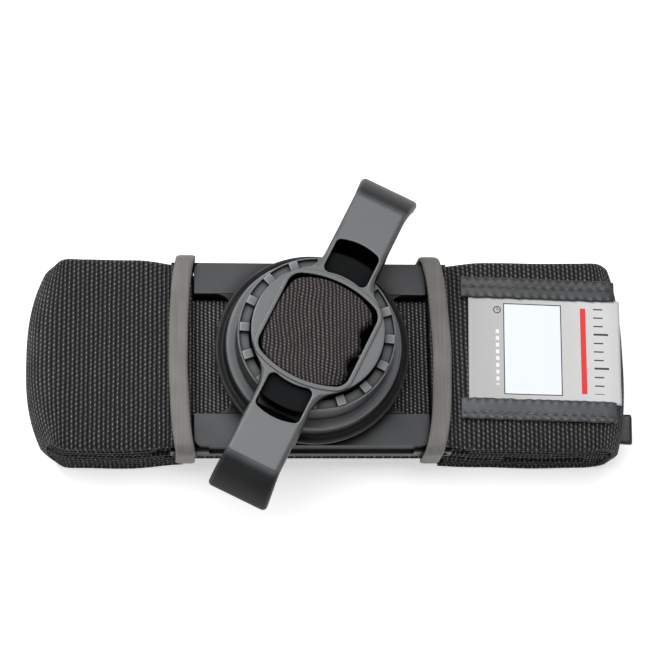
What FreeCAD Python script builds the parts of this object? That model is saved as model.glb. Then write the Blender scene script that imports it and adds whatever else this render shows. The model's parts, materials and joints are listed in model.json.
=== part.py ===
import FreeCAD, Part
import math
import os

# Ratchet windlass tourniquet, folded for carrying. Millimetres.
# The origin is on the table below the middle of the whole bundle. +X runs along the strap
# towards the time label, +Y across it and +Z up. The functions below work about the windlass
# axis, which stands at x = axis_x.

# strap webbing
strap_width = 50.8
web_thick = 1.8
ply_gap = 0.2

# base plate with two long rails
plate_length = 63.0
plate_side = 1.0
plate_width = strap_width + 2 * plate_side
plate_thick = 2.4
plate_bottom_z = 16.6
rail_height = 5.4
rail_end_gap = 0.0
rail_length = plate_length - 2 * rail_end_gap
rail_root = 0.5
rail_lip = 1.0
channel_width = 33.4
corner_radius = 3.0
arm_reach = 6.2
arm_thick = 1.4
arm_root = 4.0
bar_cover = 0.9
bar_sink = 0.4

# the windlass disc, which the posts and the housing are built round
disc_radius = 17.3
disc_gap = 0.4
post_radial = 2.5
post_inner = disc_radius + disc_gap
post_circle = post_inner + post_radial / 2
post_outer = post_inner + post_radial

# ratchet housing: radii and heights above the rails
rim_margin = 0.5
mid_step = 2.6
neck_step = 1.1
flange_step = 1.6
rim_radius = post_outer + rim_margin
mid_radius = rim_radius + mid_step
neck_radius = mid_radius + neck_step
flange_radius = neck_radius + flange_step
flange_top = 4.8
flange_thick = 1.3
mid_top = 9.7
rim_top = 19.4
rim_wall = 0.45
skirt_depth = 2.0
gusset_radius = 4.0

# ratchet posts
post_count = 16
post_width = 2.3
post_phase = -4.75
post_top = 20.0
post_height = 5.5
ring_thick = 1.0
web_inset = 0.05
web_radius = post_inner + web_inset
web_drop = 1.6
web_plate = 0.5

# windlass
handle_angle = 63.4
disc_top = 22.8
handle_gap = 0.5
hub_bottom = 4.2
window_side_u = 6.5
window_side_v = 4.5
window_half_u = disc_radius - window_side_u
window_half_v = disc_radius - window_side_v
window_bulge = 3.3
window_corner = 4.0
window_rim = 1.0
window_rim_height = 0.35
handle_half = 7.5
handle_thick = 3.6
bend_start = 38.2
tip_reach = 8.9
tip_drop = 9.6
tip_thick = 3.0
tip_half = 8.4
hole_lip = 1.4
hole_reach = 4.1
hole_near = disc_radius - hole_lip
hole_far = rim_radius + hole_reach
hole_bulge = 1.3
hole_half = 6.2
crossbar_radius = 1.6
crossbar_seat = 0.6
crossbar_depth = 6.0
root_inset = 4.1
waist_inset = 1.3
straight_reach = 3.7
handle_root_u = disc_radius - root_inset
handle_waist_u = disc_radius - waist_inset
handle_straight_u = disc_radius + straight_reach
handle_flare = 1.2
handle_round = 1.3
hole_corner = 1.6
shelf_reach = 1.5
hole_shelf = rim_radius + shelf_reach
shelf_recess = 1.5
apron_gap = 0.9
apron_wall = 1.3
apron_floor = 1.0

# bearing and retainer
run_clearance = 0.05
slip_clearance = 0.15
bushing_wall = 1.3
bushing_height = 5.4
retainer_thick = 1.2
retainer_reach = 1.6
groove_depth = 0.9

# pawls
pawl_height = 2.4
pawl_thick = 1.2
pawl_inset = 1.1
tooth_inset = 0.2
pivot_inset = 2.45
pocket_inset = 3.7
pawl_radius = disc_radius - pawl_inset
pawl_tooth_radius = disc_radius - tooth_inset
pawl_pivot_u = 6.0
pawl_pivot_v = disc_radius - pivot_inset
pawl_boss = 1.15
pawl_pin_radius = 0.6
pawl_tooth_half = 2.6
pocket_wall_v = disc_radius - pocket_inset
pocket_half_u = 8.4
leaf_thick = 0.3

# tension webbing in the channel
tension_side_gap = 0.6
tension_end_gap = 0.2

# end bars and anchor loops
bar_radius = 1.5
bar_gap = 3.8
bar_x = plate_length / 2 + bar_gap
loop_tail = 3.0

# folded strap
stack_top = 25.6
left_reach = 45.0
right_reach = 55.5
left_end = plate_length / 2 + left_reach
right_end = plate_length / 2 + right_reach
stack_waist_top = 24.6
stack_waist_bottom = 12.4
left_foot_gap = 2.1
right_foot_gap = 4.5
left_foot = plate_length / 2 + left_foot_gap
right_foot = plate_length / 2 + right_foot_gap
left_bulge = 7.0
right_bulge = 8.0
shoulder_start = 7.0
shoulder_end = 12.0

# keepers
keeper_width = 5.1
keeper_thick = 1.2
keeper_gap = 0.3
keeper_offset = 1.3
keeper_corner = 3.2

# time label
label_length = 41.0
label_width = 29.4
label_thick = 0.5
label_gap = 9.8
label_start = plate_length / 2 + label_gap
label_shift = 0.8
binding_width = 5.8
binding_thick = 1.0

# pull tab
tab_length = 7.0
tab_reach = 2.0
tab_width = 8.0
tab_thick = 1.6
tab_inset = 3.3

# slider buried in the fold
slider_length = 20.0
slider_width = 47.0
slider_thick = 2.6
slider_rail = 4.0
slider_gap = 0.3
slider_setback = 32.0
slider_z = 7.0
slider_side = 3.0
slider_bar_radius = 0.9
backing_end_gap = 1.5
backing_side_gap = 4.4
backing_half_x = plate_length / 2 - backing_end_gap
backing_half_y = strap_width / 2 - backing_side_gap

# screws
screw_radius = 1.2
screw_head_radius = 2.3
screw_head_height = 1.2
screw_x = 9.2
screw_inset = 3.9
screw_y = neck_radius - screw_inset
screw_bite = 4.2

plate_top_z = plate_bottom_z + plate_thick
rail_top_z = plate_top_z + rail_height
disc_top_z = rail_top_z + disc_top
post_top_z = rail_top_z + post_top
rim_top_z = rail_top_z + rim_top
shelf_z = post_top_z - post_height
hub_bottom_z = rail_top_z + hub_bottom
bushing_bottom_z = shelf_z - ring_thick - bushing_height
bushing_radius = disc_radius + run_clearance + bushing_wall
retainer_top_z = bushing_bottom_z - slip_clearance
cavity_radius = bushing_radius + 1.2
tension_bottom_z = plate_top_z + ply_gap
handle_under_z = post_top_z + handle_gap
pawl_tip_angle = post_phase + 7.5 * 360.0 / post_count - handle_angle
anchor_width = plate_width - 2 * arm_thick - 2 * ply_gap
axis_x = (left_end - right_end - tab_reach) / 2


def box(x0, x1, y0, y1, z0, z1):
    return Part.makeBox(x1 - x0, y1 - y0, z1 - z0, FreeCAD.Vector(x0, y0, z0))


def cylinder(radius, z0, z1, x=0.0, y=0.0):
    return Part.makeCylinder(radius, z1 - z0, FreeCAD.Vector(x, y, z0))


def ring(outer, inner, z0, z1):
    return cylinder(outer, z0, z1).cut(cylinder(inner, z0 - 1, z1 + 1))


def turned(shape, degrees):
    copy = shape.copy()
    copy.rotate(FreeCAD.Vector(0, 0, 0), FreeCAD.Vector(0, 0, 1), degrees)
    return copy


def mirrored(shape):
    return shape.mirror(FreeCAD.Vector(0, 0, 0), FreeCAD.Vector(1, 0, 0))


def revolved(profile):
    """profile: list of (radius, z), closed, turned about the windlass axis."""
    points = [FreeCAD.Vector(r, 0, z) for r, z in profile]
    face = Part.Face(Part.makePolygon(points + points[:1]))
    return face.revolve(FreeCAD.Vector(0, 0, 0), FreeCAD.Vector(0, 0, 1), 360)


def wire_through(steps, plane):
    """steps: ("line", p, q) or ("arc", p, middle, q) with 2-D points; plane gives 3-D points."""
    edges = []
    for step in steps:
        points = [plane(*p) for p in step[1:]]
        if step[0] == "line":
            edges.append(Part.LineSegment(*points).toShape())
        else:
            edges.append(Part.Arc(*points).toShape())
    return Part.Wire(edges)


def plan(steps, z0, z1):
    wire = wire_through(steps, lambda x, y: FreeCAD.Vector(x, y, z0))
    return Part.Face(wire).extrude(FreeCAD.Vector(0, 0, z1 - z0))


def side_view(steps, y0, y1):
    wire = wire_through(steps, lambda x, z: FreeCAD.Vector(x, y0, z))
    return Part.Face(wire).extrude(FreeCAD.Vector(0, y1 - y0, 0))


def upright_edges(shape, keep=lambda x, y: True):
    chosen = []
    for edge in shape.Edges:
        ends = [v.Point for v in edge.Vertexes]
        if len(ends) != 2:
            continue
        flat = math.hypot(ends[0].x - ends[1].x, ends[0].y - ends[1].y)
        if flat < 1e-6 and keep(ends[0].x, ends[0].y):
            chosen.append(edge)
    return chosen


def base_plate():
    half_x = plate_length / 2
    half_y = plate_width / 2
    plate = box(-half_x, half_x, -half_y, half_y, plate_bottom_z, plate_top_z)
    plate = plate.makeFillet(corner_radius, upright_edges(plate))
    rails = []
    for side in (-1, 1):
        inner = side * channel_width / 2
        outer = side * (half_y - rail_lip)
        rail = box(-rail_length / 2, rail_length / 2, min(inner, outer), max(inner, outer),
                   plate_bottom_z + rail_root, rail_top_z)
        outside = upright_edges(rail, lambda x, y: abs(y) > channel_width / 2 + 1)
        rails.append(rail.makeFillet(corner_radius - rail_lip, outside))
    body = plate.fuse(rails)
    arm_end = half_x + arm_reach
    arm_top = plate_top_z + bar_radius + bar_cover
    for side in (-1, 1):
        for end in (-1, 1):
            y0 = min(side * half_y, side * (half_y - arm_thick))
            x0 = min(end * (half_x - arm_root), end * arm_end)
            arm = box(x0, x0 + arm_reach + arm_root, y0, y0 + arm_thick, plate_bottom_z, arm_top)
            body = body.fuse(arm)
    for end in (-1, 1):
        bore = Part.makeCylinder(bar_radius, plate_width + 4,
                                 FreeCAD.Vector(end * bar_x, -half_y - 2, plate_top_z - bar_sink),
                                 FreeCAD.Vector(0, 1, 0))
        body = body.cut(bore)
    # the twisted webbing turns in this opening
    body = body.cut(cylinder(window_half_v + 1.5, plate_bottom_z - 1, plate_bottom_z + 0.9))
    for x, y in screw_places():
        body = body.cut(cylinder(screw_radius, plate_bottom_z - 1, rail_top_z + 1, x, y))
        body = body.cut(cylinder(screw_head_radius + slip_clearance, plate_bottom_z - 1,
                                 plate_bottom_z + screw_head_height, x, y))
    return body.removeSplitter()


def screw_places():
    return [(i * screw_x, j * screw_y) for i in (-1, 1) for j in (-1, 1)]


def housing_screws():
    screws = []
    for x, y in screw_places():
        head = cylinder(screw_head_radius, plate_bottom_z, plate_bottom_z + screw_head_height, x, y)
        shank = cylinder(screw_radius, plate_bottom_z, rail_top_z + screw_bite, x, y)
        screws.append(head.fuse(shank))
    return Part.makeCompound(screws)


def gusset():
    """Concave corner between a rail's inner wall and the housing's neck, in plan."""
    edge_y = channel_width / 2 - slip_clearance
    centre_y = edge_y - gusset_radius
    reach = neck_radius + gusset_radius
    centre_x = math.sqrt(reach ** 2 - centre_y ** 2)
    share = neck_radius / reach
    touch = (centre_x * share, centre_y * share)
    bend = 0.5 * (math.pi / 2 + math.atan2(-centre_y, -centre_x) + 2 * math.pi)
    middle = (centre_x + gusset_radius * math.cos(bend), centre_y + gusset_radius * math.sin(bend))
    start_x = math.sqrt(neck_radius ** 2 - edge_y ** 2)
    back = (start_x * 0.9, edge_y * 0.9)
    steps = [("line", back, (start_x * 0.9, edge_y)),
             ("line", (start_x * 0.9, edge_y), (centre_x, edge_y)),
             ("arc", (centre_x, edge_y), middle, touch),
             ("line", touch, (touch[0] * 0.93, touch[1] * 0.93)),
             ("line", (touch[0] * 0.93, touch[1] * 0.93), back)]
    return plan(steps, rail_top_z - skirt_depth, rail_top_z)


def ratchet_housing():
    flange_z = rail_top_z + flange_top
    mid_z = rail_top_z + mid_top
    profile = [(neck_radius, rail_top_z),
               (neck_radius, flange_z - flange_thick - 1.4),
               (flange_radius - 0.4, flange_z - flange_thick),
               (flange_radius, flange_z - flange_thick + 0.4),
               (flange_radius, flange_z - 0.4),
               (flange_radius - 0.4, flange_z),
               (mid_radius + 0.9, flange_z),
               (mid_radius + 0.5, flange_z + 0.4),
               (mid_radius, mid_z - 0.5),
               (mid_radius - 0.4, mid_z),
               (rim_radius + 0.6, mid_z),
               (rim_radius + 0.2, mid_z + 0.4),
               (rim_radius, rim_top_z - 0.25),
               (rim_radius - 0.25, rim_top_z),
               (rim_radius - rim_wall, rim_top_z),
               (rim_radius - rim_wall, shelf_z - ring_thick),
               (bushing_radius, shelf_z - ring_thick),
               (bushing_radius, bushing_bottom_z),
               (cavity_radius, bushing_bottom_z),
               (cavity_radius, rail_top_z)]
    body = revolved(profile)
    skirt = ring(neck_radius, cavity_radius, rail_top_z - skirt_depth, rail_top_z)
    between = channel_width / 2 - slip_clearance
    skirt = skirt.common(box(-60, 60, -between, between, 0, rail_top_z + 1))
    corner = gusset()
    corners = [corner, mirrored(corner)]
    corners += [turned(c, 180) for c in corners]
    body = body.fuse([skirt] + corners)
    for x, y in screw_places():
        body = body.cut(cylinder(screw_radius, rail_top_z - skirt_depth, rail_top_z + screw_bite, x, y))
    return body.removeSplitter()


def ratchet_ring():
    body = ring(rim_radius - rim_wall, bushing_radius - bushing_wall + 0.3, shelf_z - ring_thick, shelf_z)
    posts = []
    for k in range(post_count):
        post = box(post_circle - post_radial / 2, post_circle + post_radial / 2,
                   -post_width / 2, post_width / 2, shelf_z - 0.3, post_top_z)
        posts.append(turned(post, post_phase + k * 360.0 / post_count))
    web_top = post_top_z - web_drop
    webs = ring(rim_radius - rim_wall, web_radius, web_top - web_plate, web_top)
    return body.fuse(posts + [webs])


def rotor_bushing():
    return ring(bushing_radius, disc_radius + run_clearance, bushing_bottom_z, shelf_z - ring_thick)


def window_steps(grow=0.0):
    u = window_half_u + grow * 0.6
    v = window_half_v + grow
    far = window_half_u + window_bulge + grow
    return [("line", (-u, v), (u, v)),
            ("arc", (u, v), (far, 0), (u, -v)),
            ("line", (u, -v), (-u, -v)),
            ("arc", (-u, -v), (-far, 0), (-u, v))]


def window_prism(z0, z1, grow=0.0):
    prism = plan(window_steps(grow), z0, z1)
    return prism.makeFillet(window_corner + grow, upright_edges(prism))


def handle():
    """One handle along +u: a flat paddle with a finger hole and a tip that curves down."""
    tip = bend_start + tip_reach
    start = handle_root_u - 3
    root_u = handle_root_u
    root_v = math.sqrt(disc_radius ** 2 - root_u ** 2)
    waist = (handle_waist_u, handle_half + handle_flare)
    straight = handle_straight_u
    outline = [("line", (start, -root_v), (start, root_v)),
               ("line", (start, root_v), (root_u, root_v)),
               ("arc", (root_u, root_v), waist, (straight, handle_half)),
               ("line", (straight, handle_half), (bend_start, handle_half)),
               ("line", (bend_start, handle_half), (tip, tip_half)),
               ("line", (tip, tip_half), (tip, -tip_half)),
               ("line", (tip, -tip_half), (bend_start, -handle_half)),
               ("line", (bend_start, -handle_half), (straight, -handle_half)),
               ("arc", (straight, -handle_half), (waist[0], -waist[1]), (root_u, -root_v)),
               ("line", (root_u, -root_v), (start, -root_v))]
    flat = plan(outline, disc_top_z - tip_drop - 2 * tip_thick, disc_top_z + 1)
    clear_u = rim_radius + 1.0
    top = disc_top_z
    under = top - handle_thick
    steps = [("line", (start, top), (bend_start, top)),
             ("arc", (bend_start, top), (bend_start + tip_reach * 0.62, top - tip_drop * 0.42),
              (tip, top - tip_drop)),
             ("line", (tip, top - tip_drop), (tip - tip_thick, top - tip_drop - 0.6)),
             ("arc", (tip - tip_thick, top - tip_drop - 0.6),
              (bend_start + tip_reach * 0.34, top - tip_drop * 0.36 - tip_thick * 0.86),
              (bend_start - 1.5, under)),
             ("line", (bend_start - 1.5, under), (clear_u, under)),
             ("line", (clear_u, under), (clear_u, handle_under_z)),
             ("line", (clear_u, handle_under_z), (start, handle_under_z)),
             ("line", (start, handle_under_z), (start, top))]
    body = flat.common(side_view(steps, -30, 30))
    body = body.makeFillet(handle_round, handle_edges(body))
    apron = box(clear_u, hole_far + hole_bulge + apron_wall, -handle_half, handle_half,
                rail_top_z + mid_top + apron_gap, under + 1)
    return body.fuse(apron)


def handle_edges(body):
    """The long top edges of one handle, along the paddle and down its tip."""
    chosen = []
    for edge in body.Edges:
        ends = [v.Point for v in edge.Vertexes]
        middle = edge.valueAt((edge.FirstParameter + edge.LastParameter) / 2)
        along = abs(ends[0].x - ends[1].x)
        outside = min(abs(ends[0].y), abs(ends[1].y)) > handle_half - 0.1
        upper = middle.z > disc_top_z - 0.1 or middle.x > bend_start and along > tip_reach - 0.5
        if outside and upper and along > 5:
            chosen.append(edge)
    return chosen


def finger_hole():
    """A finger pocket: a shelf over the posts, and deep where it is beyond the rim."""
    near_u = math.sqrt(hole_near ** 2 - hole_half ** 2)
    shelf_u = math.sqrt(hole_shelf ** 2 - hole_half ** 2)
    far_arc = [("arc", (hole_far, hole_half), (hole_far + hole_bulge, 0), (hole_far, -hole_half))]
    recess = plan([("arc", (near_u, -hole_half), (hole_near, 0), (near_u, hole_half)),
                   ("line", (near_u, hole_half), (hole_far, hole_half))] + far_arc
                  + [("line", (hole_far, -hole_half), (near_u, -hole_half))],
                  disc_top_z - shelf_recess, disc_top_z + 1)
    recess = recess.makeFillet(hole_corner, upright_edges(recess))
    bottom = rail_top_z + mid_top + apron_gap + apron_floor
    through = plan([("arc", (shelf_u, -hole_half), (hole_shelf, 0), (shelf_u, hole_half)),
                    ("line", (shelf_u, hole_half), (hole_far, hole_half))] + far_arc
                   + [("line", (hole_far, -hole_half), (shelf_u, -hole_half))],
                   bottom, disc_top_z)
    far_corners = upright_edges(through, lambda x, y: x > hole_far - 1)
    through = through.makeFillet(hole_corner, far_corners)
    inside = box(rim_radius, hole_shelf + 0.5, -hole_half, hole_half, bottom, handle_under_z)
    return recess.fuse([through, inside])


def pawl_pocket():
    """Space beside the window, open at the hub's side, where one pawl swings."""
    low = shelf_z + 0.4
    high = low + pawl_height + 0.6
    return box(-pocket_half_u, pocket_half_u, pocket_wall_v, disc_radius + 2, low, high)


def windlass_rotor():
    hub = cylinder(disc_radius, hub_bottom_z, disc_top_z)
    arm = handle()
    body = hub.fuse([arm, turned(arm, 180)])
    rim = window_prism(disc_top_z - 0.5, disc_top_z + window_rim_height, window_rim)
    body = body.fuse(rim)
    body = body.cut(window_prism(hub_bottom_z - 1, disc_top_z + 2))
    hole = finger_hole()
    pocket = pawl_pocket()
    for angle in (0, 180):
        body = body.cut([turned(hole, angle), turned(pocket, angle)])
    groove = ring(disc_radius + 1, disc_radius - groove_depth, retainer_top_z - retainer_thick,
                  retainer_top_z)
    body = body.cut(groove)
    low = shelf_z + 0.4
    for angle in (0, 180):
        pin = cylinder(pawl_pin_radius, low - 0.8, low + pawl_height + 1.4, pawl_pivot_u, pawl_pivot_v)
        body = body.cut(turned(pin, angle))
    # the crossbar's ends sit in the window's long walls
    body = body.cut(crossbar_shape())
    return turned(body.removeSplitter(), handle_angle)


def crossbar_shape():
    z = disc_top_z - crossbar_depth
    length = 2 * (window_half_v + crossbar_seat)
    start = FreeCAD.Vector(0, -length / 2, z)
    return Part.makeCylinder(crossbar_radius, length, start, FreeCAD.Vector(0, 1, 0))


def rotor_crossbar():
    return turned(crossbar_shape(), handle_angle)


def retaining_ring():
    outer = disc_radius + retainer_reach
    body = ring(outer, disc_radius - groove_depth, retainer_top_z - retainer_thick, retainer_top_z)
    split = box(0, outer + 1, -2.0, 2.0, retainer_top_z - 3, retainer_top_z + 1)
    return turned(body.cut(split), handle_angle + 90)


def polar(radius, degrees):
    angle = math.radians(degrees)
    return (radius * math.cos(angle), radius * math.sin(angle))


def pawl():
    """Curved arm from its pivot to a tooth that drops between two posts when it swings out."""
    low = shelf_z + 0.7
    boss = cylinder(pawl_boss, low, low + pawl_height, pawl_pivot_u, pawl_pivot_v)
    start = math.degrees(math.atan2(pawl_pivot_v, pawl_pivot_u)) + 2
    tooth_end = pawl_tip_angle + pawl_tooth_half
    tooth_start = pawl_tip_angle - pawl_tooth_half
    middle = 0.5 * (start + tooth_start)
    inner = pawl_radius - pawl_thick
    arm = plan([("arc", polar(pawl_radius, start), polar(pawl_radius, middle),
                 polar(pawl_radius, tooth_start)),
                ("line", polar(pawl_radius, tooth_start), polar(pawl_tooth_radius, tooth_start + 1)),
                ("line", polar(pawl_tooth_radius, tooth_start + 1), polar(pawl_tooth_radius, tooth_end)),
                ("line", polar(pawl_tooth_radius, tooth_end), polar(inner, tooth_end)),
                ("arc", polar(inner, tooth_end), polar(inner, middle), polar(inner, start)),
                ("line", polar(inner, start), polar(pawl_radius, start))], low, low + pawl_height)
    body = boss.fuse(arm)
    bore = cylinder(pawl_pin_radius + run_clearance, low - 1, low + pawl_height + 1,
                    pawl_pivot_u, pawl_pivot_v)
    return body.cut(bore)


def pawl_pins():
    low = shelf_z + 0.4
    pin = cylinder(pawl_pin_radius, low - 0.8, low + pawl_height + 1.4, pawl_pivot_u, pawl_pivot_v)
    return Part.makeCompound([turned(pin, handle_angle), turned(pin, handle_angle + 180)])


def pawl_spring():
    low = shelf_z + 0.9
    wall = pocket_wall_v
    foot = -pocket_half_u + 0.2
    knee = foot + 1.0
    free_end = wall + 0.9
    steps = [("line", (foot, wall), (knee, wall)),
             ("line", (knee, wall), (0.4, free_end)),
             ("line", (0.4, free_end), (0.4, free_end + leaf_thick)),
             ("line", (0.4, free_end + leaf_thick), (knee - 0.2, wall + leaf_thick)),
             ("line", (knee - 0.2, wall + leaf_thick), (foot, wall + leaf_thick)),
             ("line", (foot, wall + leaf_thick), (foot, wall))]
    return plan(steps, low, low + pawl_height - 0.6)


def webbing_loop():
    """The webbing that humps up through the window over the crossbar."""
    inset = 0.7
    top = disc_top_z - 0.6
    low = disc_top_z - crossbar_depth
    half_v = window_half_v - inset - 0.8
    half_u = window_half_u - 0.6
    arch = side_view([("line", (-half_u, low - 4), (half_u, low - 4)),
                      ("line", (half_u, low - 4), (half_u, top - 2.6)),
                      ("arc", (half_u, top - 2.6), (0, top), (-half_u, top - 2.6)),
                      ("line", (-half_u, top - 2.6), (-half_u, low - 4))], -half_v, half_v)
    return turned(arch.cut(crossbar_shape()), handle_angle)


def tension_webbing(end):
    """The run in the channel, from the plate's end to the housing's cavity."""
    half = channel_width / 2 - tension_side_gap
    x0 = window_half_v + window_rim
    x1 = bar_x - bar_radius - web_thick - tension_end_gap
    run = box(x0, x1, -half, half, tension_bottom_z, tension_bottom_z + web_thick)
    return run if end > 0 else mirrored(run)


def end_bar(end):
    length = plate_width - 1.0
    start = FreeCAD.Vector(end * bar_x, -length / 2, plate_top_z - bar_sink)
    return Part.makeCylinder(bar_radius, length, start, FreeCAD.Vector(0, 1, 0))


def anchor_loop(end):
    """Strap folded round an end bar and stitched to itself."""
    half = anchor_width / 2
    z = plate_top_z - bar_sink
    outer = bar_radius + web_thick
    loop = Part.makeCylinder(outer, anchor_width, FreeCAD.Vector(bar_x, -half, z), FreeCAD.Vector(0, 1, 0))
    tail = box(bar_x, bar_x + outer + loop_tail, -half, half, z - outer, z + outer)
    slit = box(bar_x, bar_x + outer + 4.0, -half - 1, half + 1, z - ply_gap, z + ply_gap)
    bore = Part.makeCylinder(bar_radius, anchor_width + 2, FreeCAD.Vector(bar_x, -half - 1, z),
                             FreeCAD.Vector(0, 1, 0))
    body = loop.fuse(tail).cut(slit).cut(bore)
    return body if end > 0 else mirrored(body)


def stack_outline(reach, waist_x, bulge_x, foot_x):
    """Side view of a folded bundle: thin where the keeper holds it, rounded at its far end."""
    step_x = plate_length / 2 + keeper_offset + keeper_width + keeper_gap
    step_z = stack_waist_bottom - 2 * keeper_gap - keeper_thick
    neck_x = waist_x + shoulder_start
    shoulder_x = waist_x + shoulder_end
    return [("line", (waist_x, stack_waist_bottom), (step_x, stack_waist_bottom)),
            ("line", (step_x, stack_waist_bottom), (step_x, step_z)),
            ("line", (step_x, step_z), (foot_x, step_z)),
            ("arc", (foot_x, step_z), (foot_x - 0.6, step_z / 2), (foot_x + 0.8, 0)),
            ("line", (foot_x + 0.8, 0), (reach - bulge_x, 0)),
            ("arc", (reach - bulge_x, 0), (reach, stack_top * 0.48), (reach - bulge_x, stack_top)),
            ("line", (reach - bulge_x, stack_top), (shoulder_x, stack_top)),
            ("arc", (shoulder_x, stack_top), ((shoulder_x + neck_x) / 2, stack_top - 0.25),
             (neck_x, stack_waist_top)),
            ("line", (neck_x, stack_waist_top), (waist_x, stack_waist_top)),
            ("line", (waist_x, stack_waist_top), (waist_x, stack_waist_bottom))]


def fold_bundle(reach, bulge_x, foot_x):
    half = strap_width / 2
    waist_x = plate_length / 2 + 0.5
    body = side_view(stack_outline(reach, waist_x, bulge_x, foot_x), -half, half)
    z = plate_top_z - bar_sink
    outer = bar_radius + web_thick
    room = box(waist_x - 1, bar_x + outer + loop_tail + ply_gap, -half - 1, half + 1,
               z - outer - ply_gap, z + outer + ply_gap)
    return body.cut(room)


def slider_room(grow=0.0):
    x0 = right_end - slider_setback - grow
    y = slider_width / 2 + grow
    z0 = slider_z - grow
    return box(x0, x0 + slider_length + 2 * grow, -y, y, z0, z0 + slider_thick + 2 * grow)


def strap_fold_left():
    return mirrored(fold_bundle(left_end, left_bulge, left_foot))


def strap_fold_right():
    return fold_bundle(right_end, right_bulge, right_foot).cut(slider_room(slider_gap)).cut(pull_tab())


def strap_slider():
    """Ladder slider: an outer frame with room for the middle bar."""
    body = slider_room()
    edge = body.BoundBox
    room = box(edge.XMin + slider_rail, edge.XMax - slider_rail,
               edge.YMin + slider_side, edge.YMax - slider_side,
               edge.ZMin - 1, edge.ZMax + 1)
    return body.cut(room).cut(slider_bar())


def slider_bar():
    edge = slider_room().BoundBox
    length = edge.YLength - slider_side
    start = FreeCAD.Vector(edge.Center.x, -length / 2, edge.Center.z)
    return Part.makeCylinder(slider_bar_radius, length, start, FreeCAD.Vector(0, 1, 0))


def strap_underside():
    half = strap_width / 2
    reach = plate_length / 2 + 0.2
    plies = []
    for k in range(2):
        top = plate_bottom_z - ply_gap - k * (web_thick + ply_gap)
        plies.append(box(-reach, reach, -half, half, top - web_thick, top))
    return Part.makeCompound(plies)


def backing_plate():
    """Thin stiffener sewn between the two underside plies."""
    top = plate_bottom_z - ply_gap - web_thick
    return box(-backing_half_x, backing_half_x, -backing_half_y, backing_half_y,
               top - ply_gap, top)


def keeper(end):
    x0 = plate_length / 2 + keeper_offset
    inner_y = max(plate_width / 2, strap_width / 2) + keeper_gap
    inner_z0 = stack_waist_bottom - keeper_gap
    inner_z1 = stack_waist_top + keeper_gap
    outer = box(x0, x0 + keeper_width, -inner_y - keeper_thick, inner_y + keeper_thick,
                inner_z0 - keeper_thick, inner_z1 + keeper_thick)
    outer = outer.makeFillet(keeper_corner, long_edges(outer))
    inner = box(x0 - 1, x0 + keeper_width + 1, -inner_y, inner_y, inner_z0, inner_z1)
    inner = inner.makeFillet(keeper_gap * 3, long_edges(inner))
    body = outer.cut(inner)
    return body if end > 0 else mirrored(body)


def long_edges(shape):
    chosen = []
    for edge in shape.Edges:
        ends = [v.Point for v in edge.Vertexes]
        if abs(ends[0].x - ends[1].x) > 1e-6:
            chosen.append(edge)
    return chosen


def time_label():
    x0 = label_start
    return box(x0, x0 + label_length, label_shift - label_width / 2, label_shift + label_width / 2,
               stack_top + 0.05, stack_top + 0.05 + label_thick)


def label_binding(side):
    y0 = label_shift + side * (label_width / 2 - 0.6)
    y1 = label_shift + side * (label_width / 2 + binding_width - 0.6)
    strip = box(label_start - 0.5, label_start + label_length, min(y0, y1), max(y0, y1),
                stack_top + 0.05, stack_top + 0.05 + binding_thick)
    return strip.cut(time_label())


def pull_tab():
    x0 = right_end + tab_reach - tab_length
    y0 = -strap_width / 2 + tab_inset
    z0 = stack_top * 0.5
    return box(x0, x0 + tab_length, y0, y0 + tab_width, z0, z0 + tab_thick)


nodes = {
    "base_plate": base_plate(),
    "housing_screws": housing_screws(),
    "ratchet_housing": ratchet_housing(),
    "ratchet_ring": ratchet_ring(),
    "rotor_bushing": rotor_bushing(),
    "windlass_rotor": windlass_rotor(),
    "rotor_crossbar": rotor_crossbar(),
    "retaining_ring": retaining_ring(),
    "pawl_a": turned(pawl(), handle_angle),
    "pawl_b": turned(pawl(), handle_angle + 180),
    "pawl_pins": pawl_pins(),
    "pawl_spring_a": turned(pawl_spring(), handle_angle),
    "pawl_spring_b": turned(pawl_spring(), handle_angle + 180),
    "webbing_loop": webbing_loop(),
    "tension_webbing_left": tension_webbing(-1),
    "tension_webbing_right": tension_webbing(1),
    "end_bar_left": end_bar(-1),
    "end_bar_right": end_bar(1),
    "anchor_loop_left": anchor_loop(-1),
    "anchor_loop_right": anchor_loop(1),
    "strap_fold_left": strap_fold_left(),
    "strap_fold_right": strap_fold_right(),
    "strap_underside": strap_underside(),
    "backing_plate": backing_plate(),
    "strap_slider": strap_slider(),
    "slider_bar": slider_bar(),
    "keeper_left": keeper(-1),
    "keeper_right": keeper(1),
    "time_label": time_label(),
    "label_binding_rear": label_binding(1),
    "label_binding_front": label_binding(-1),
    "pull_tab": pull_tab(),
}

os.makedirs("parts", exist_ok=True)
for name, shape in nodes.items():
    shape.translate(FreeCAD.Vector(axis_x, 0, 0))
    shape.exportStep("parts/" + name + ".step")
    print(name, len(shape.Solids), round(shape.Volume, 1), shape.isValid())
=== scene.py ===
import bpy
import bmesh
import json
import math
import random
from mathutils import Matrix, Vector, noise

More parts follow.
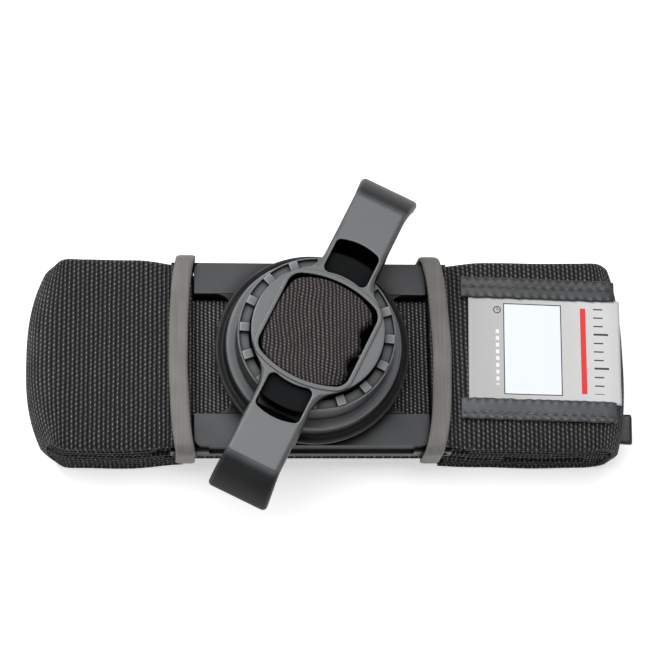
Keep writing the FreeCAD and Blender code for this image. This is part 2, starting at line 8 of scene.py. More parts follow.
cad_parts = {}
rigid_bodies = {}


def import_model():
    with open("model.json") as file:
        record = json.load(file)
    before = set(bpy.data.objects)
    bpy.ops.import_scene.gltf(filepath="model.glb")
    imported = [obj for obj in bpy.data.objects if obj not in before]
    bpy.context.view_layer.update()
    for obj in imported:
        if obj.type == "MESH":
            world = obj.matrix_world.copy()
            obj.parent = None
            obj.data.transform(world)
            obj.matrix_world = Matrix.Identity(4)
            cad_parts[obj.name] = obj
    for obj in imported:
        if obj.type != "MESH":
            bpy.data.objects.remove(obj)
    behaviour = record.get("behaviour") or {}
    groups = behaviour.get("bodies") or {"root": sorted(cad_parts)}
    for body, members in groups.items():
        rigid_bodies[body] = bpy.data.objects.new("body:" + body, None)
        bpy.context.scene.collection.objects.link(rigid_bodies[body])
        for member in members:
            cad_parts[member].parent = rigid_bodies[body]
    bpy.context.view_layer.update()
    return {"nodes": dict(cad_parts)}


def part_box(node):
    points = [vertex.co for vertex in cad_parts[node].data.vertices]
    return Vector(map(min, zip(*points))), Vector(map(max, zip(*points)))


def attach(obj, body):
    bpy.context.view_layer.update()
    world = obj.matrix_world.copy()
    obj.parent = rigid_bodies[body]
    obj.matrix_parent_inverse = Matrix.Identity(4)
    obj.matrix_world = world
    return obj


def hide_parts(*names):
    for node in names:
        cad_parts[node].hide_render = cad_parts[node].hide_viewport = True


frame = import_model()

mm = 0.001
scene = bpy.context.scene


class Wire:
    # one node's output, so that shader sums read as plain Python
    def __init__(self, recipe, socket):
        self.recipe = recipe
        self.socket = socket

    def calc(self, operation, *others):
        values = dict(enumerate([self, *others]))
        return self.recipe.node("ShaderNodeMath", {"operation": operation}, values)

    def __add__(self, other):
        return self.calc("ADD", other)

    __radd__ = __add__

    def __mul__(self, other):
        return self.calc("MULTIPLY", other)

    __rmul__ = __mul__

    def __sub__(self, other):
        return self.calc("SUBTRACT", other)

    def __rsub__(self, other):
        return self.recipe.node("ShaderNodeMath", {"operation": "SUBTRACT"}, {0: other, 1: self})

    def __truediv__(self, other):
        return self.calc("DIVIDE", other)

    def __gt__(self, other):
        return self.calc("GREATER_THAN", other)

    def __lt__(self, other):
        return self.calc("LESS_THAN", other)

    def clamp(self):
        return self.recipe.node("ShaderNodeClamp", {}, {"Value": self})

    def axis(self, name):
        return self.recipe.node("ShaderNodeSeparateXYZ", {}, {0: self}, name)


class Recipe:
    # a material being built up from nodes
    def __init__(self, name, **constants):
        self.material = bpy.data.materials.new(name)
        self.material.use_nodes = True
        self.tree = self.material.node_tree
        self.shader = self.tree.nodes["Principled BSDF"]
        for socket, value in constants.items():
            self.shader.inputs[socket.replace("_", " ")].default_value = value

    def node(self, kind, settings=None, sockets=None, output=0):
        made = self.tree.nodes.new(kind)
        for key, value in (settings or {}).items():
            if key == "stops":
                ramp = made.color_ramp
                while len(ramp.elements) < len(value):
                    ramp.elements.new(0.5)
                for element, (place, colour) in zip(ramp.elements, value):
                    element.position = place
                    element.color = (*colour, 1)
            else:
                setattr(made, key, value)
        for key, value in (sockets or {}).items():
            if isinstance(value, Wire):
                self.tree.links.new(value.socket, made.inputs[key])
            else:
                made.inputs[key].default_value = value
        return Wire(self, made.outputs[output])

    def into(self, **sockets):
        for name, value in sockets.items():
            self.tree.links.new(value.socket, self.shader.inputs[name.replace("_", " ")])
        return self.material

    def place(self):
        return self.node("ShaderNodeTexCoord", {}, {}, "Object")

    def uv(self, layer):
        return self.node("ShaderNodeUVMap", {"uv_map": layer})

    def noise(self, where, scale, detail=3.0, rough=0.55):
        return self.node("ShaderNodeTexNoise", {}, {"Vector": where, "Scale": scale, "Detail": detail,
                                                    "Roughness": rough})

    def mix(self, share, first, second):
        return self.node("ShaderNodeMix", {"data_type": "RGBA"}, {0: share, 6: first, 7: second}, 2)

    def between(self, value, low, high, newLow=0.0, newHigh=1.0):
        return self.node("ShaderNodeMapRange", {}, {0: value, 1: low, 2: high, 3: newLow, 4: newHigh})

    def bump(self, height, strength, distance, under=None):
        sockets = {"Height": height, "Strength": strength, "Distance": distance}
        if under is not None:
            sockets["Normal"] = under
        return self.node("ShaderNodeBump", {}, sockets)

    def stretched(self, where, scale):
        return self.node("ShaderNodeMapping", {}, {"Vector": where, "Scale": scale})


def rgb(r, g, b):
    return (r, g, b, 1.0)


plastic = {"bevel": 0.0008, "hollowReach": 0.007, "scuffs": 0.22, "edgeWearAndHighlight": 0.85, "grain": 0.16}


def shades(tone, factor, lift=0.0):
    # a darker or lighter version of a colour
    return rgb(*[c * factor + lift for c in tone])


def mouldedPlastic(name, tone, roughness, edge=3.0, heights=((0.0, 1.0), (1.0, 1.0)), pocket=None):
    # heights gives the painted light and shade at each share of 50 mm above the table, how light the surface is
    # painted there;
    # pocket is an axis, a reach and a height: what lies nearer and lower gets painted deep shade
    r = Recipe(name, Specular_IOR_Level=0.42)
    where = r.place()
    rounded = r.node("ShaderNodeBevel", {"samples": 6}, {"Radius": plastic["bevel"]})
    flat = r.node("ShaderNodeNewGeometry", {}, {}, "Normal")
    along = r.node("ShaderNodeVectorMath", {"operation": "DOT_PRODUCT"}, {0: rounded, 1: flat}, "Value")
    rim = r.between(1 - along, 0.002, 0.06)
    # painted light and shade: the colour is made lighter or darker by height above the table
    rise = where.axis("Z") / 0.05
    stops = [(place, (share / 2, share / 2, share / 2)) for place, share in heights]
    paintedHeightLight = r.node("ShaderNodeValToRGB", {"stops": stops}, {"Fac": rise})
    open_ = r.node("ShaderNodeAmbientOcclusion", {"samples": 8}, {"Distance": plastic["hollowReach"]}, "AO")
    hollow = r.between(open_, 0.25, 0.9)
    cloud = r.noise(where, 90.0, 4.0)
    grain = r.noise(where, 5200.0, 2.0)
    scuff = r.noise(r.stretched(where, (900.0, 160.0, 400.0)), 3.0, 5.0, 0.7)
    marks = r.between(scuff, 0.62, 0.74)
    colour = r.mix(r.between(cloud, 0.35, 0.65), shades(tone, 0.86), shades(tone, 1.16))
    colour = r.mix(marks * plastic["scuffs"], colour, shades(tone, 2.3, 0.01))
    colour = r.node("ShaderNodeVectorMath", {"operation": "MULTIPLY"}, {0: colour, 1: paintedHeightLight})
    colour = r.node("ShaderNodeVectorMath", {"operation": "SCALE"}, {0: colour, "Scale": 2.0})
    # edges lighter: partly wear, partly painted highlight
    colour = r.mix(rim * hollow * plastic["edgeWearAndHighlight"], colour, shades(tone, edge, 0.02))
    # painted shade: recesses found by ambient occlusion are darkened towards black
    colour = r.mix((1 - hollow) * 0.9, colour, shades(tone, 0.12))
    rough = r.between(cloud, 0.3, 0.7, roughness - 0.05, roughness + 0.06)
    rough = rough + marks * 0.08 + (1 - hollow) * 0.3
    # painted shade: where the painted height light is low, the colour goes towards black, and metallic and
    # roughness rise to dim reflections
    shade = r.between(paintedHeightLight, 0.1, 0.5, 1.0, 0.0)
    colour = r.mix(shade * 0.6, colour, rgb(0.004, 0.004, 0.004))
    paintedShadeMetallic = (1 - hollow) * 0.5 + shade * 0.65
    rough = rough + shade * 0.2
    if pocket:
        axisX, reach, level = pocket
        dx, dy = where.axis("X") - axisX, where.axis("Y")
        sunk = (dx * dx + dy * dy < reach * reach) * (where.axis("Z") < level)
        # painted deep shade in the finger-hole pockets, with metallic raised to dim reflections
        colour = r.mix(sunk * 0.88, colour, shades(tone, 0.06))
        paintedShadeMetallic = paintedShadeMetallic + sunk * 0.7
    normal = r.bump(grain, plastic["grain"], 0.00004, rounded)
    return r.into(Base_Color=colour, Roughness=rough, Metallic=paintedShadeMetallic.clamp(), Normal=normal)


def wovenWebbing(name, tones, ribPitch, yarnPitch, beads):
    # u runs along the strap and v across it, both in millimetres;
    # tones are the painted shade in the valleys, the painted light on the crests and the painted glints
    valley, crest, glint = tones
    r = Recipe(name, Specular_IOR_Level=0.22)
    uv = r.uv("weave")
    wander = r.noise(r.stretched(uv, (0.35, 0.12, 1.0)), 1.0, 2.0) - 0.5
    along = uv.axis("X") + wander * 0.5
    across = uv.axis("Y") + wander * 0.6
    rib = (along / ribPitch).calc("FRACT")
    ridge = 1 - ((rib - 0.5) * 2).calc("ABSOLUTE")
    odd = (along / ribPitch).calc("FLOOR") * 0.5
    yarn = (across / yarnPitch + odd + rib * 0.42).calc("FRACT")
    dash = 1 - ((yarn - 0.5) * 2).calc("ABSOLUTE")
    twist = (across * (6.2 / yarnPitch) + along * 9.0).calc("SINE") * 0.5 + 0.5
    bead = dash.calc("POWER", 0.7) * beads * (ridge * 0.82 + 0.18)
    height = ridge.calc("POWER", 0.8) * (1.2 - beads) + bead + twist * 0.06
    speck = r.noise(r.stretched(uv, (3.1, 2.3, 1.0)), 1.0, 3.0, 0.7)
    # painted light and shade: valleys darker, crests lighter, and shine paints glints on the crests
    lift = r.between(height, 0.16, 1.06)
    colour = r.mix(lift, rgb(*valley), rgb(*crest))
    shine = r.between(height * (speck + 0.42), 0.86, 1.16)
    colour = r.mix(shine, colour, rgb(*glint))
    rough = 0.82 - lift * 0.22 - shine * 0.14
    return r.into(Base_Color=colour, Roughness=rough, Normal=r.bump(height, 0.85, 0.00028))


def keeperRubber():
    r = Recipe("keeperRubber", Specular_IOR_Level=0.3)
    where = r.place()
    lines = r.noise(r.stretched(where, (2600.0, 45.0, 900.0)), 1.0, 3.0, 0.6)
    dust = r.noise(where, 700.0, 4.0, 0.65)
    cloud = r.noise(where, 110.0, 2.0)
    colour = r.mix(r.between(lines, 0.35, 0.65), rgb(0.135, 0.128, 0.118), rgb(0.185, 0.177, 0.165))
    colour = r.mix(r.between(cloud, 0.35, 0.7) * 0.35, colour, rgb(0.235, 0.228, 0.215))
    colour = r.mix(r.between(dust, 0.6, 0.8) * 0.3, colour, rgb(0.3, 0.29, 0.275))
    rough = r.between(lines, 0.3, 0.7, 0.56, 0.7)
    normal = r.bump(lines * 0.7 + dust * 0.3, 0.35, 0.00012)
    return r.into(Base_Color=colour, Roughness=rough, Normal=normal)


def satinTape(name, tone):
    r = Recipe(name, Specular_IOR_Level=0.5, Sheen_Weight=0.15)
    uv = r.uv("weave")
    warp = (uv.axis("Y") * 15.0).calc("SINE") * 0.5 + 0.5
    weft = (uv.axis("X") * 21.0 + uv.axis("Y") * 7.0).calc("SINE") * 0.5 + 0.5
    cloud = r.noise(r.stretched(uv, (0.22, 0.6, 1.0)), 1.0, 3.0)
    height = warp * 0.5 + weft * 0.5
    colour = r.mix(height * 0.6 + cloud * 0.4, shades(tone, 0.6), shades(tone, 1.5))
    rough = r.between(cloud, 0.3, 0.7, 0.36, 0.52)
    return r.into(Base_Color=colour, Roughness=rough, Normal=r.bump(height, 0.3, 0.00008))


def sewingThread():
    r = Recipe("sewingThread", Specular_IOR_Level=0.4)
    where = r.place()
    twist = r.noise(where, 4200.0, 2.0)
    colour = r.mix(twist, rgb(0.012, 0.012, 0.013), rgb(0.07, 0.07, 0.075))
    return r.into(Base_Color=colour, Roughness=r.between(twist, 0.3, 0.7, 0.5, 0.75))


def brushedSteel(name, tone):
    r = Recipe(name, Metallic=1.0)
    where = r.place()
    brush = r.noise(r.stretched(where, (9000.0, 300.0, 9000.0)), 1.0, 3.0)
    dark, light = tone * 0.8, tone * 1.2
    colour = r.mix(brush, rgb(dark, dark, tone * 0.82), rgb(light, light, tone * 1.22))
    return r.into(Base_Color=colour, Roughness=r.between(brush, 0.3, 0.7, 0.24, 0.42))


print("materials")
finish = {
    # the height stops of each plastic are its painted light and shade by height
    "plate": mouldedPlastic("platePlastic", (0.052, 0.055, 0.059), 0.36, 3.4,
                            ((0.32, 0.5), (0.47, 0.55), (0.49, 0.66))),
    "housing": mouldedPlastic("housingPlastic", (0.052, 0.054, 0.057), 0.36, 3.4,
                              ((0.50, 0.45), (0.575, 0.4), (0.585, 0.25), (0.66, 0.8), (0.68, 2.6),
                               (0.70, 0.5), (0.85, 0.65), (0.875, 1.5))),
    "windlass": mouldedPlastic("windlassPlastic", (0.08, 0.084, 0.088), 0.35, 2.6,
                               ((0.76, 0.3), (0.92, 0.42), (0.938, 1.0)), (-0.00625, 0.028, 0.0466)),
    "post_plastic": mouldedPlastic("postPlastic", (0.14, 0.145, 0.15), 0.42),
    "slider_plastic": mouldedPlastic("sliderPlastic", (0.02, 0.02, 0.021), 0.45),
    "bearing_plastic": mouldedPlastic("bearingPlastic", (0.42, 0.42, 0.4), 0.4),
    "steel": brushedSteel("brushedSteel", 0.5),
    "dark_steel": brushedSteel("blackenedSteel", 0.06),
    # webbing tones: painted shade in valleys, painted light on crests, painted glints
    "strap": wovenWebbing("strapWebbing", ((0.002, 0.002, 0.002), (0.053, 0.052, 0.054), (0.34, 0.34, 0.345)),
                          1.2, 1.25, 0.62),
    "tension": wovenWebbing("tensionWebbing", ((0.001, 0.001, 0.001), (0.095, 0.092, 0.09), (0.65, 0.64, 0.63)),
                            1.1, 0.95, 0.7),
    "keeper": keeperRubber(),
    "binding": satinTape("bindingTape", (0.042, 0.047, 0.052)),
    # painted shade: the rear binding is a darker copy of the same binding tape
    "shaded_rear_binding": satinTape("bindingTapePaintedShade", (0.024, 0.027, 0.03)),
    "tab": satinTape("tabTape", (0.012, 0.012, 0.013)),
    "thread": sewingThread(),
}


def meshPiece(name, points, faces, material, uvs=None, values=None):
    # points are in millimetres; uvs and values are one for each point
    mesh = bpy.data.meshes.new(name)
    mesh.from_pydata([Vector(p) * mm for p in points], [], faces)
    turnOutwards(mesh)
    mesh.materials.append(material)
    if uvs:
        layer = mesh.uv_layers.new(name="weave")
        for loop in mesh.loops:
            layer.data[loop.index].uv = uvs[loop.vertex_index]
    for key, column in (values or {}).items():
        attribute = mesh.attributes.new(key, "FLOAT", "POINT")
        attribute.data.foreach_set("value", column)
    piece = bpy.data.objects.new(name, mesh)
    scene.collection.objects.link(piece)
    for polygon in mesh.polygons:
        polygon.use_smooth = True
    return piece


def flattened(piece):
    # turns the modifiers' result into the piece's own plain mesh
    graph = bpy.context.evaluated_depsgraph_get()
    result = bpy.data.meshes.new_from_object(piece.evaluated_get(graph))
    piece.modifiers.clear()
    piece.data = result
    return piece


def evenly(route, step):
    # points at an even spacing along a list of 2-D points
    places = [0.0]
    for a, b in zip(route, route[1:]):
        places.append(places[-1] + math.dist(a, b))
    count = max(2, round(places[-1] / step))
    result = []
    k = 0
    for i in range(count + 1):
        want = places[-1] * i / count
        while k < len(places) - 2 and places[k + 1] < want:
            k += 1
        share = (want - places[k]) / max(places[k + 1] - places[k], 1e-9)
        a, b = route[k], route[k + 1]
        result.append((a[0] + (b[0] - a[0]) * share, a[1] + (b[1] - a[1]) * share))
    return result


def arc(centre, radius, start, end, count=16):
    angles = [math.radians(start + (end - start) * i / count) for i in range(count + 1)]
    return [(centre[0] + radius * math.cos(a), centre[1] + radius * math.sin(a)) for a in angles]


def smoothStep(x):
    x = min(1.0, max(0.0, x))
    return x * x * (3 - 2 * x)


def ribbon(name, route, size, material, step, columns, bend=None, closed=False):
    # a strap of the given width and thickness, laid along a route in x and z, all in millimetres
    width, thick, middle = size
    samples = evenly(route, step)
    if closed:
        samples = samples[:-1]
    total = len(samples)
    shares = [-0.5 + j / columns for j in range(columns + 1)]
    points, uvs, face = [], [], []
    for side in (1, -1):
        for i, (x, z) in enumerate(samples):
            if closed:
                before, after = samples[i - 1], samples[(i + 1) % total]
            else:
                before, after = samples[max(0, i - 1)], samples[min(total - 1, i + 1)]
            run = Vector((after[0] - before[0], after[1] - before[1])).normalized()
            for share in shares:
                edge = min(1.0, (0.5 - abs(share)) * width / 0.9)
                half = side * thick / 2 * (0.45 + 0.55 * math.sqrt(edge))
                spot = Vector((x - run[1] * half, middle + share * width, z + run[0] * half))
                points.append(bend(spot, share) if bend else spot)
                uvs.append((i * step, share * width + 60.0))
                face.append(edge)
    row = columns + 1
    back = total * row
    faces = []
    for i in range(total if closed else total - 1):
        a0 = i * row
        b0 = (i + 1) % total * row
        for j in range(columns):
            faces.append((a0 + j, a0 + j + 1, b0 + j + 1, b0 + j))
            faces.append((back + a0 + j, back + b0 + j, back + b0 + j + 1, back + a0 + j + 1))
        for j in (0, columns):
            faces.append((a0 + j, b0 + j, back + b0 + j, back + a0 + j))
    if not closed:
        for a0 in (0, (total - 1) * row):
            for j in range(columns):
                faces.append((a0 + j, a0 + j + 1, back + a0 + j + 1, back + a0 + j))
    return meshPiece(name, points, faces, material, uvs, {"face": face, "along": [u for u, v in uvs]})


def joined(name, pieces):
    # several ribbons as one mesh
    mesh = bmesh.new()
    for piece in pieces:
        mesh.from_mesh(piece.data)
    result = pieces[0]
    mesh.to_mesh(result.data)
    mesh.free()
    for piece in pieces[1:]:
        bpy.data.objects.remove(piece)
    result.name = name
    return result


def turnOutwards(mesh):
    # every face of a closed mesh looks out
    shell = bmesh.new()
    shell.from_mesh(mesh)
    bmesh.ops.recalc_face_normals(shell, faces=shell.faces)
    shell.to_mesh(mesh)
    shell.free()


def routeLength(route):
    return sum(math.dist(a, b) for a, b in zip(route, route[1:]))


class Graph:
    def __init__(self, name, inputs):
        self.tree = bpy.data.node_groups.new(name, "GeometryNodeTree")
        face = self.tree.interface
        face.new_socket("Geometry", in_out="INPUT", socket_type="NodeSocketGeometry")
        face.new_socket("Geometry", in_out="OUTPUT", socket_type="NodeSocketGeometry")
        self.ids = {}
        for label, (kind, value) in inputs.items():
            socket = face.new_socket(label, in_out="INPUT", socket_type=kind)
            if value is not None:
                socket.default_value = value
            self.ids[label] = socket.identifier
        self.start = self.tree.nodes.new("NodeGroupInput")
        self.end = self.tree.nodes.new("NodeGroupOutput")

    def node(self, kind, settings=None, sockets=None, output=0):
        made = self.tree.nodes.new(kind)
        for key, value in (settings or {}).items():
            setattr(made, key, value)
        for key, value in (sockets or {}).items():
            if hasattr(value, "is_output"):
                self.tree.links.new(value, made.inputs[key])
            else:
                made.inputs[key].default_value = value
        return made.outputs[output]

    def math(self, operation, *values):
        return self.node("ShaderNodeMath", {"operation": operation}, dict(enumerate(values)))

    def finish(self, geometry):
        solid = self.node("GeometryNodeRealizeInstances", {}, {0: geometry})
        painted = self.node("GeometryNodeSetMaterial", {}, {"Geometry": solid,
                                                            "Material": self.start.outputs["Material"]})
        self.tree.links.new(painted, self.end.inputs[0])
        return self

    def on(self, piece, **values):
        modifier = piece.modifiers.new(self.tree.name, "NODES")
        modifier.node_group = self.tree
        for label, value in values.items():
            modifier[self.ids[label.replace("_", " ")]] = value
        return flattened(piece)


def ribGraph():
    # raises cross ribs on a strap, from its attribute that measures along it
    g = Graph("strapRibs", {"Rib pitch": ("NodeSocketFloat", 1.15), "Rib height": ("NodeSocketFloat", 0.2),
                            "Wander": ("NodeSocketFloat", 0.2), "Material": ("NodeSocketMaterial", None)})
    start = g.start.outputs
    along = g.node("GeometryNodeInputNamedAttribute", {"data_type": "FLOAT"}, {"Name": "along"})
    face = g.node("GeometryNodeInputNamedAttribute", {"data_type": "FLOAT"}, {"Name": "face"})
    place = g.node("GeometryNodeInputPosition")
    drift = g.node("ShaderNodeTexNoise", {}, {"Vector": place, "Scale": 140.0, "Detail": 1.0})
    shift = g.math("MULTIPLY", g.math("SUBTRACT", drift, 0.5), start["Wander"])
    phase = g.math("DIVIDE", g.math("ADD", along, shift), start["Rib pitch"])
    wave = g.math("ABSOLUTE", g.math("SINE", g.math("MULTIPLY", phase, math.pi)))
    round_ = g.math("POWER", wave, 0.7)
    amount = g.math("MULTIPLY", g.math("MULTIPLY", round_, start["Rib height"]), face)
    amount = g.math("MULTIPLY", amount, mm)
    normal = g.node("GeometryNodeInputNormal")
    offset = g.node("ShaderNodeVectorMath", {"operation": "SCALE"}, {0: normal, "Scale": amount})
    moved = g.node("GeometryNodeSetPosition", {}, {"Geometry": start["Geometry"], "Offset": offset})
    return g.finish(moved)


def stitchGraph():
    # lays short rounded stitches along the edges of the input mesh
    g = Graph("stitchRun", {"Stitch pitch": ("NodeSocketFloat", 0.0025),
                            "Stitch length": ("NodeSocketFloat", 0.0019),
                            "Thread": ("NodeSocketFloat", 0.00022), "Jitter": ("NodeSocketFloat", 0.12),
                            "Material": ("NodeSocketMaterial", None)})
    start = g.start.outputs
    line = g.node("GeometryNodeMeshToCurve", {}, {0: start["Geometry"]})
    spots = g.node("GeometryNodeCurveToPoints", {"mode": "LENGTH"},
                   {"Curve": line, "Length": start["Stitch pitch"]})
    turn = spots.node.outputs["Rotation"]
    wobble = g.node("FunctionNodeRandomValue", {"data_type": "FLOAT_VECTOR"}, {"Seed": 7})
    centred = g.node("ShaderNodeVectorMath", {"operation": "SUBTRACT"}, {0: wobble, 1: (0.5, 0.5, 0.5)})
    scaled = g.node("ShaderNodeVectorMath", {"operation": "SCALE"}, {0: centred, "Scale": start["Jitter"]})
    tilt = g.node("FunctionNodeEulerToRotation", {}, {0: scaled})
    rotation = g.node("FunctionNodeRotateRotation", {}, {"Rotation": turn, "Rotate By": tilt})
    shape = g.node("GeometryNodeMeshUVSphere", {}, {"Segments": 8, "Rings": 6, "Radius": 1.0})
    half = g.math("MULTIPLY", start["Stitch length"], 0.5)
    size = g.node("ShaderNodeCombineXYZ", {}, {0: start["Thread"], 1: start["Thread"], 2: half})
    laid = g.node("GeometryNodeInstanceOnPoints", {},
                  {"Points": spots, "Instance": shape, "Rotation": rotation, "Scale": size})
    return g.finish(laid)


print("node trees")
ribs = ribGraph()
stitches = stitchGraph()


# camera, floor and light
view = {"turn": 17.6, "rise": 73.0, "roll": 17.2, "distance": 0.5366, "aim": (-0.00079, 0.00484, 0.028),
        "lens": 108.27}
print("camera and light")


def placed(thing, x, y, z, where):
    # stands an object with its own x, y and z axes along three directions
    thing.matrix_world = Matrix([[x[i], y[i], z[i], where[i]] for i in range(3)] + [[0, 0, 0, 1]])
    scene.collection.objects.link(thing)
    return thing


def addCamera():
    turn = math.radians(view["turn"])
    rise = math.radians(view["rise"])
    roll = math.radians(view["roll"])
    look = Vector((math.sin(turn) * math.cos(rise), math.cos(turn) * math.cos(rise), -math.sin(rise)))
    side = look.cross(Vector((0, 0, 1))).normalized()
    over = side.cross(look)
    right = side * math.cos(roll) + over * math.sin(roll)
    up = over * math.cos(roll) - side * math.sin(roll)
    data = bpy.data.cameras.new("camera")
    data.lens = view["lens"]
    data.clip_start = 0.01
    scene.camera = placed(bpy.data.objects.new("camera", data), right, up, -look,
                          Vector(view["aim"]) - look * view["distance"])


def softbox(name, where, aim, size, power, tint=(1, 1, 1)):
    data = bpy.data.lights.new(name, "AREA")
    data.shape = "RECTANGLE"
    data.size, data.size_y = size
    data.energy = power
    data.color = tint
    back = (Vector(where) - Vector(aim)).normalized()
    side = Vector((0, 1, 0)).cross(back).normalized()
    placed(bpy.data.objects.new(name, data), side, back.cross(side), back, where)


def addFloor():
    r = Recipe("paleFloor", Roughness=0.9, Specular_IOR_Level=0.1, Emission_Color=rgb(1, 1, 1),
               Emission_Strength=0.5)
    cloud = r.noise(r.place(), 3.0, 2.0)
    paper = r.into(Base_Color=r.mix(cloud, rgb(0.94, 0.94, 0.94), rgb(0.97, 0.97, 0.97)))
    half = 2500
    corners = [(-half, -half, -0.05), (half, -half, -0.05), (half, half, -0.05), (-half, half, -0.05)]
    floor = meshPiece("paleFloor", corners, [(0, 1, 2, 3)], paper)


addCamera()
addFloor()
softbox("overheadLight", (-0.12, 0.16, 0.95), (0, 0, 0), (0.8, 0.6), 8.0)
softbox("keyLight", (-0.5, 0.42, 0.62), (0, 0, 0.03), (0.14, 0.14), 2.8)
softbox("fillLight", (0.6, -0.3, 0.55), (0, 0, 0.02), (0.3, 0.3), 0.4)
sky = bpy.data.worlds.new("studioWhite")
sky.use_nodes = True
sky.node_tree.nodes["Background"].inputs["Color"].default_value = rgb(1, 1, 1)
sky.node_tree.nodes["Background"].inputs["Strength"].default_value = 0.16
scene.world = sky
scene.view_settings.view_transform = "Standard"

# hard parts keep their shape and get their finishes
print("hard parts")
hardParts = {
    "plate": ["base_plate"],
    "housing": ["ratchet_housing"],
    "windlass": ["windlass_rotor"],
    "post_plastic": ["ratchet_ring"],
    "slider_plastic": ["strap_slider"],
    "bearing_plastic": ["rotor_bushing", "retaining_ring", "backing_plate"],
    "steel": ["housing_screws", "pawl_a", "pawl_b", "pawl_pins", "pawl_spring_a", "pawl_spring_b"],
    "dark_steel": ["rotor_crossbar", "end_bar_left", "end_bar_right", "slider_bar"],
}
for look, names in hardParts.items():
    for name in names:
        for slot in frame["nodes"][name].material_slots:
            slot.material = finish[look]


def edges(node):
    # a CAD node's lowest and highest corner, in millimetres
    low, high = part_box(node)
    return low / mm, high / mm


# the folded strap, in millimetres; shape holds the middle's spread, the far corners' draw and the taper
strap = {"thick": 1.8, "rib": 1.2, "ribHeight": 0.24, "wander": 0.5, "step": 0.287, "columns": 56,
         "plyStep": 0.65, "plyColumns": 30, "plyNarrower": 0.8, "plyPitch": 2.2, "plies": 10,
         "endRound": 10.0, "endPower": 2.4, "sag": 0.45, "sway": 0.5, "droop": 0.9, "keeperDip": 2.4,
         "fade": 12.0, "spreadRun": 16.0,
         "shape": {"Left": (0.035, 4.6, 0.08), "Right": (0.035, 3.0, 0.0)}}


def endInset(share, reach):
    # how far a bundle's rounded end draws back at a height of share, from -1 to 1
    power = strap["endPower"]
    return reach * (1 - max(0.0, 1 - abs(share) ** power) ** (1 / power))


def wrapRoute(low, high, waist, right):
    # the outer ply: over the top, round the end and back below, for an end towards -x
    half = strap["thick"] / 2
    top = high.z - half
    middle = (low.z + high.z) / 2
    tall = (high.z - low.z) / 2 - half
    end = low.x + half
    power = strap["endPower"]
    route = [(waist, top - 1.0), (waist - 6.5, top - 0.95), (waist - 9.5, top - 0.3), (waist - 12.5, top)]
    for k in range(33):
        a = math.pi * k / 32 - math.pi / 2
        sine = math.copysign(abs(math.sin(a)) ** (2 / power), math.sin(a))
        x = end + strap["endRound"] * (1 - math.cos(a) ** (2 / power) if math.cos(a) > 0 else 1)
        route.append((x, middle - tall * sine))
    route.append((right, low.z + half))
    return route


def serpentine(levels, right, endAt, last=None):
    # plies back and forth, each pair turned round a hairpin; endAt gives the far end at a height
    route = []
    for i, z in enumerate(levels):
        pair = i // 2 * 2
        gap = abs(levels[min(pair + 1, len(levels) - 1)] - levels[pair]) / 2
        far = max(endAt(levels[pair]), endAt(levels[min(pair + 1, len(levels) - 1)])) + gap
        if i % 2 == 0:
            route += [(right, z), (far, z)]
            route += [(far - gap * math.sin(a), z + gap - gap * math.cos(a))
                      for a in [math.pi * k / 6 for k in range(1, 6)]]
        else:
            route += [(far, z), (right, z)]
            if i + 1 < len(levels):
                rise = (levels[i + 1] - z) / 2
                route += [(right + rise * math.sin(a), z + rise - rise * math.cos(a))
                          for a in [math.pi * k / 6 for k in range(1, 6)]]
    if last:
        route[-1:] = last
    return route


def strapBend(low, high, waist, spread, corner, taper, sign):
    # the bundle in plan: drawn in by the keeper, wider in the middle, with rounded far corners
    def bend(spot, share):
        out = waist - spot.x
        beforeTail = waist - low.x - strap["fade"]
        middle = smoothStep(out / strap["spreadRun"]) * spread
        tail = smoothStep((out - beforeTail) / strap["fade"])
        wide = 1 + middle - taper * tail
        x = spot.x + corner * abs(2 * share) ** 2.6 * tail
        upper = smoothStep((spot.z - high.z / 2) / strap["fade"])
        sag = strap["sag"] * noise.noise((spot.x * 0.045, spot.y * 0.05, spot.z * 0.02 + 3.1))
        droop = strap["droop"] * abs(2 * share) ** 5 * upper
        dip = strap["keeperDip"] * max(0.0, 2 * share) ** 3 * upper
        dip *= smoothStep(1 - out / strap["spreadRun"])
        z = spot.z + sag * smoothStep(spot.z / 6) - droop * smoothStep(out / strap["fade"]) - dip
        y = spot.y * wide + strap["sway"] * noise.noise((spot.x * 0.06, spot.z * 0.17, 5.0))
        return Vector((sign * x, y, max(z, 0.05)))
    return bend


